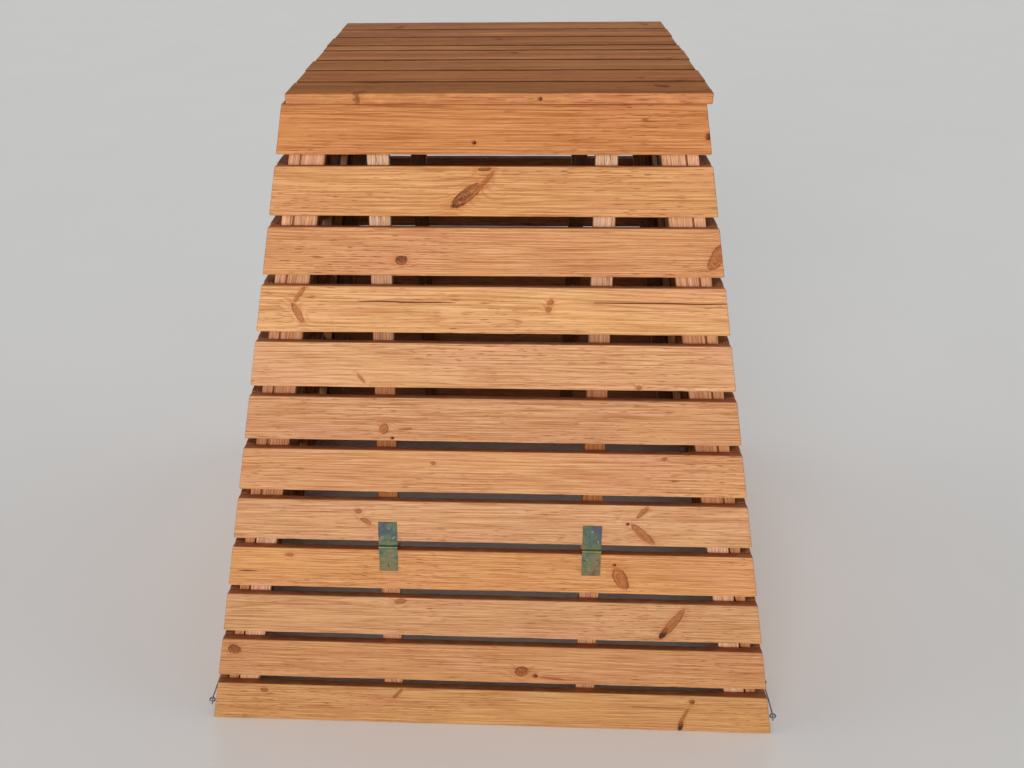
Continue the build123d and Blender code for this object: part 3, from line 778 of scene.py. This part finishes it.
front_ends = end_planes("front_slat_6", FRONT)
for number, cad_node in enumerate(FRONT_SLATS, 1):
    row = ROWS - number
    low = row * PITCH
    middle = low + BOARD_W / 2
    splits = [
        (start * MM, finish * MM, middle + above * MM, width * MM, deep * MM)
        for start, finish, above, width, deep in SPLITS.get(number, ())
    ]
    # the slat's tone holds painted light as well as its own colour
    material = pine(f"pine_{cad_node}", FRONT, FRONT_LIT_TONES[number - 1], number, middle, KNOTS[number])
    body = "door" if cad_node in DOOR_SLATS else "walls"
    add_board(f"{cad_node}_board", FRONT, low, low + BOARD_W, front_ends, 100 + number,
              [material, split_shade_paint], body, cad_node, splits, levels)

for index, (cad_node, place) in enumerate(
    (("rear_wall_slats", REAR), ("left_wall_slats", LEFT), ("right_wall_slats", RIGHT))
):
    material = pine(f"pine_{cad_node}", place, WALL_TONE, 31 + index, None, (), 0.5)
    planes = end_planes(cad_node, place)
    wall = cad_node.removesuffix("_wall_slats")
    for row in range(ROWS):
        add_board(f"{wall}_slat_{ROWS - row}", place, row * PITCH, row * PITCH + BOARD_W, planes,
                  200 + 20 * index + row, [material, split_shade_paint], "walls", cad_node, (), levels)

for number, cad_node in enumerate(LID_BOARDS, 1):
    low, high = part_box(cad_node)
    ends = [(Vector((-1, 0, 0)), -low.x), (Vector((1, 0, 0)), high.x)]
    material = pine(f"pine_{cad_node}", LID, LID_TONE, 50 + number, (low.y + high.y) / 2,
                    LID_KNOTS.get(number, ()), 0.45, weathered_and_shaded=LID_SHADED_TOPS[number - 1],
                    gap_shaded=(number > 1, number < len(LID_BOARDS)))
    add_board(f"{cad_node}_plank", LID, low.y, high.y, ends, 300 + number, [material, split_shade_paint],
              "lid", cad_node)

# ---- pieces that keep their CAD shape --------------------------------------------------------
zinc, wire, screws = passivated_zinc(), galvanised_wire(), screw_zinc()
batten_walls = {"front": FRONT, "door": FRONT, "rear": REAR, "left": LEFT, "right": RIGHT}
batten_pine = {}
for index, (wall, place) in enumerate(batten_walls.items()):
    for kind, at in (("corner", CORNER_AT), ("middle", MIDDLE_AT)):
        batten_pine[wall, kind] = pine(f"pine_{wall}_{kind}", place, BATTEN_TONE,
                                       70 + 2 * index + (kind == "corner"), at, upright=kind,
                                       shade_grade=SHADE_GRADE[wall == "door", kind])
cleat_pine = pine("pine_lid_cleats", LID, BATTEN_TONE, 90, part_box("lid_cleat_right")[0].x + MIDDLE_W / 2,
                  upright="middle")
for node in sorted(nodes):
    if "batten" in node:
        wall = node.split("_")[0]
        paint(node, batten_pine[wall, "middle" if "middle" in node else "corner"])
    elif "cleat" in node:
        paint(node, cleat_pine)
    elif node.startswith("hinge") and "screws" not in node:
        paint(node, zinc)
    elif "screws" in node:
        paint(node, screws)
    elif "hook" in node or "eye" in node:
        paint(node, wire)

# ---- floor, light and camera -----------------------------------------------------------------
FLOOR_RADIUS = 60.0
bpy.ops.mesh.primitive_circle_add(vertices=96, radius=FLOOR_RADIUS, fill_type="NGON")
floor = bpy.context.object
floor.name = "pale_floor"
floor.data.materials.append(floor_paint())


def soft_light(name, azimuth, elevation, strength, spread):
    """Even light from a broad patch of a studio, spread degrees wide. Azimuth 0 is the front."""
    around, up = math.radians(azimuth), math.radians(elevation)
    towards = Vector((math.sin(around) * math.cos(up), -math.cos(around) * math.cos(up), math.sin(up)))
    lamp = bpy.data.lights.new(name, "SUN")
    lamp.energy = strength
    lamp.angle = math.radians(spread)
    light = bpy.data.objects.new(name, lamp)
    light.rotation_euler = towards.to_track_quat("Z", "Y").to_euler()
    bpy.context.scene.collection.objects.link(light)


soft_light("key_light", -8, 13, 1.9, 40)
soft_light("left_light", -95, 10, 0.65, 60)
soft_light("right_light", 95, 10, 0.65, 60)
soft_light("back_light", 180, 10, 0.8, 60)

SKY_STRENGTH = 0.30
world = bpy.data.worlds.new("studio")
bpy.context.scene.world = world
world.use_nodes = True
background = world.node_tree.nodes["Background"]
background.inputs["Color"].default_value = (1, 1, 1, 1)
background.inputs["Strength"].default_value = SKY_STRENGTH

# The photographer's place, from a fit to the edges of the slats, battens and lid.
CAMERA_AT = (0.04253, -2.14212, 1.69491)
YAW, DOWN, ROLL = -0.0581, 0.5043, -0.0152        # radians
SENSOR, LENS, SHIFT = 36, 35.211, 0.0493
camera_data = bpy.data.cameras.new("camera")
camera_data.sensor_width = SENSOR
camera_data.lens = LENS
camera_data.shift_x = SHIFT
camera_data.clip_end = 200
camera = bpy.data.objects.new("camera", camera_data)
looking = Vector((math.sin(YAW) * math.cos(DOWN), math.cos(YAW) * math.cos(DOWN), -math.sin(DOWN)))
level_right = Vector((math.cos(YAW), -math.sin(YAW), 0))
level_up = level_right.cross(looking)
right = level_right * math.cos(ROLL) + level_up * math.sin(ROLL)
upright = level_up * math.cos(ROLL) - level_right * math.sin(ROLL)
turned = Matrix((right, upright, -looking)).transposed().to_4x4()
camera.matrix_world = Matrix.Translation(CAMERA_AT) @ turned
bpy.context.scene.collection.objects.link(camera)
bpy.context.scene.camera = camera

bpy.context.scene.view_settings.view_transform = "Standard"

bpy.context.view_layer.update()
